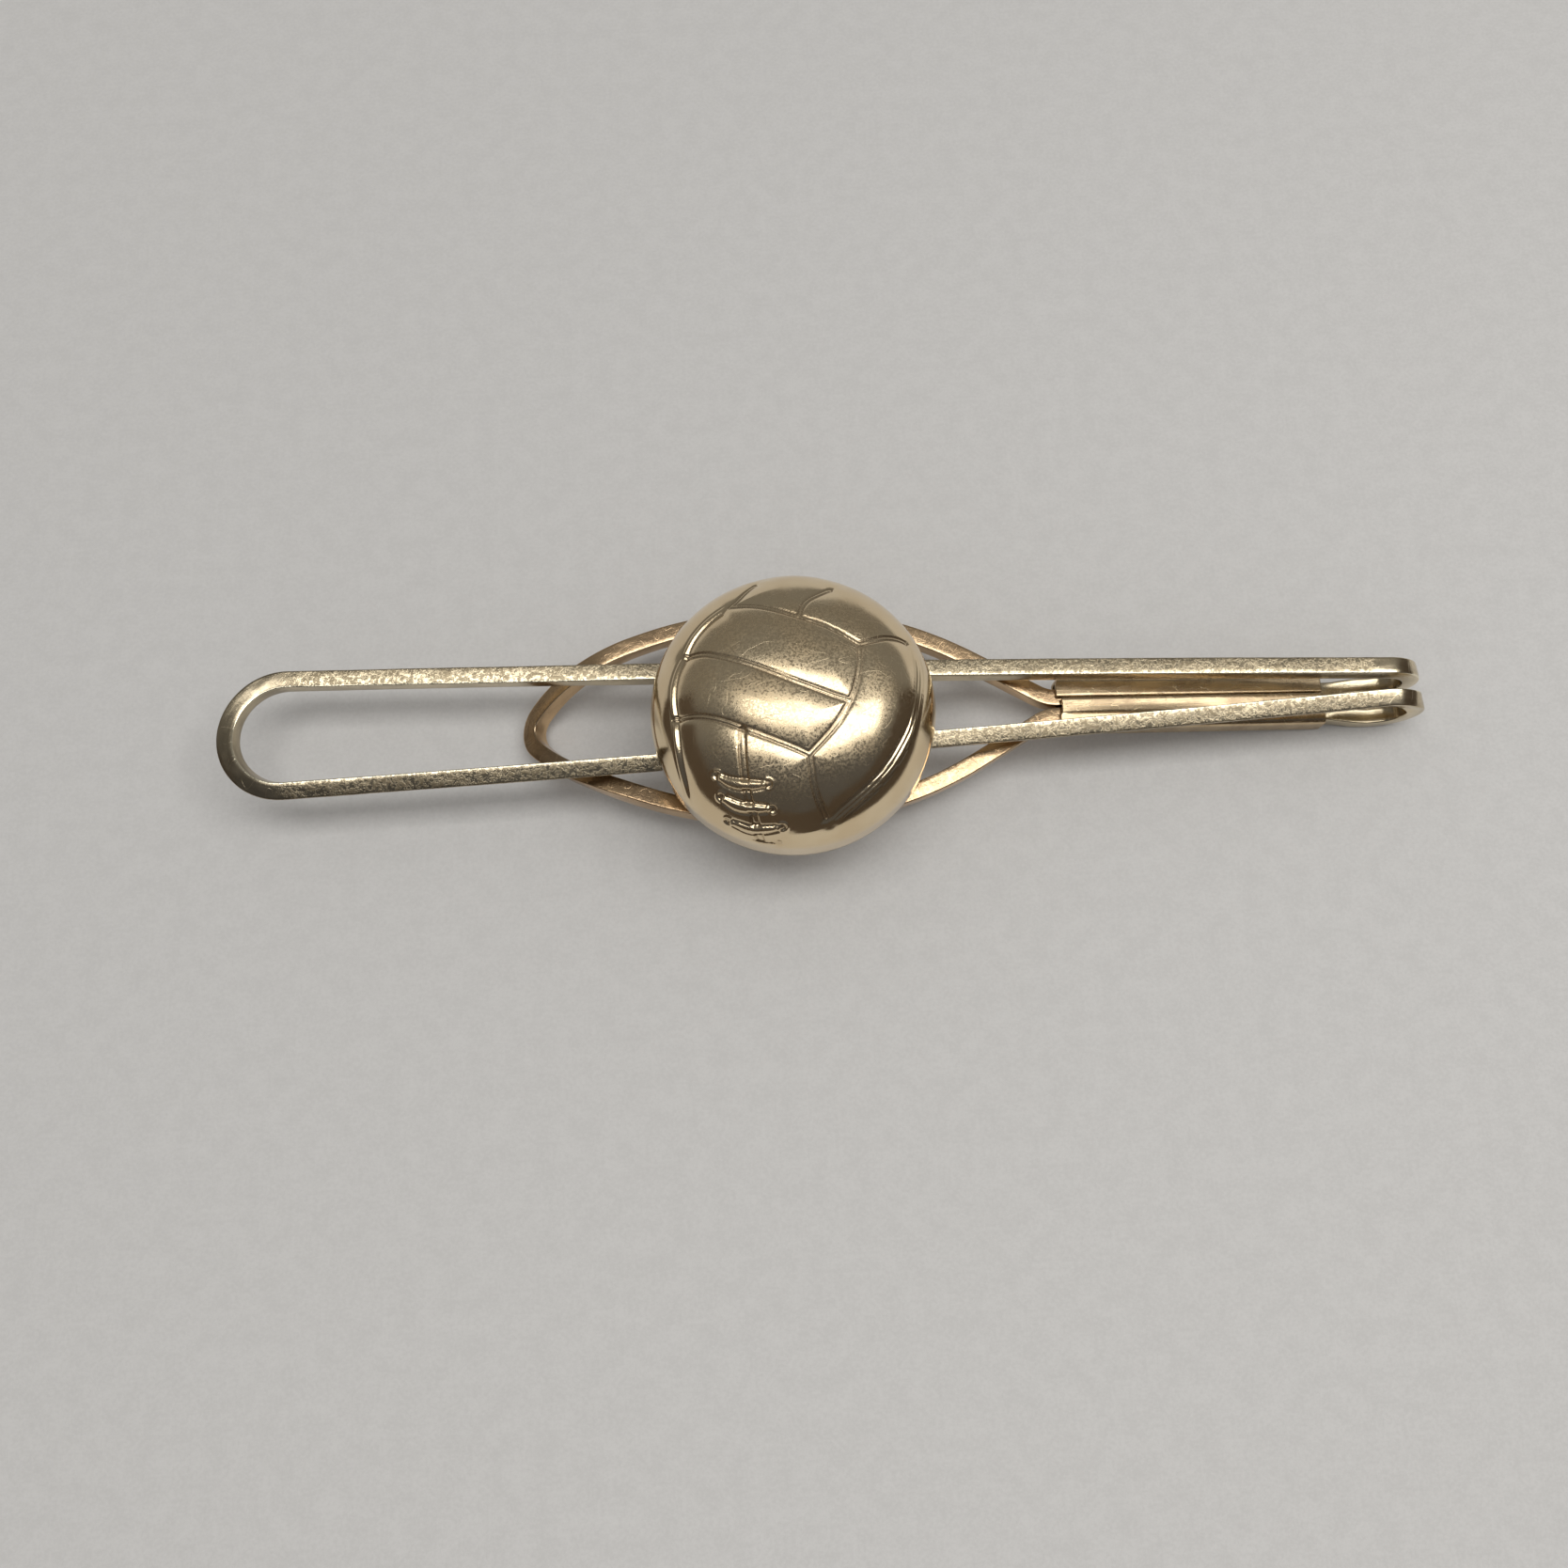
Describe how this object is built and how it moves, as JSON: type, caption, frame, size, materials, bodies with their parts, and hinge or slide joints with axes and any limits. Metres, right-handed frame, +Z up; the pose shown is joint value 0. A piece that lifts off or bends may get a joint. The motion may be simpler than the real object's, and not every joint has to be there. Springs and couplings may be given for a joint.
{
  "type": "ball tie clip",
  "caption": "Gold-coloured square-wire tie clip: a long hairpin front with a soldered half ball, and a sprung rear loop that grips a tie from behind.",
  "frame": {"origin": "on the surface that the clip lies on, under the middle of its box", "axes": "+X from the round end to the spring bends, +Y to the far side, +Z up, out of the front of the ball"},
  "size_m": [0.0621, 0.0142, 0.0097],
  "materials": {
    "frame_wire": "square wire, gold plated, its top face worn matt and pitted, its edges bright",
    "ball_gold": "stamped sheet, gold plated, polished with fine hazy scratches",
    "solder": "plated solder fillet, dull",
    "loop_wire": "square wire, gold plated, smoother than the front and slightly bronzed",
    "sleeve_sheet": "folded sheet, gold plated, smooth"
  },
  "bodies": {
    "front": {"front_frame_wire": "frame_wire", "ball_dome": "ball_gold", "ball_backing_disc": "ball_gold", "solder_far": "solder", "solder_near": "solder"},
    "back": {"return_strand_far": "frame_wire", "return_strand_near": "frame_wire", "rear_loop_wire": "loop_wire", "crimp_sleeve": "sleeve_sheet"}
  },
  "joints": [
    {"name": "spring_opening", "type": "hinge", "parent": "front", "child": "back", "pos_m": [0.02995, 0.00072, 0.002], "axis": [0, -1, 0], "range_deg": [0, 8], "stiffness_Nm_per_rad": 0.3, "springref_deg": -2.86}
  ]
}
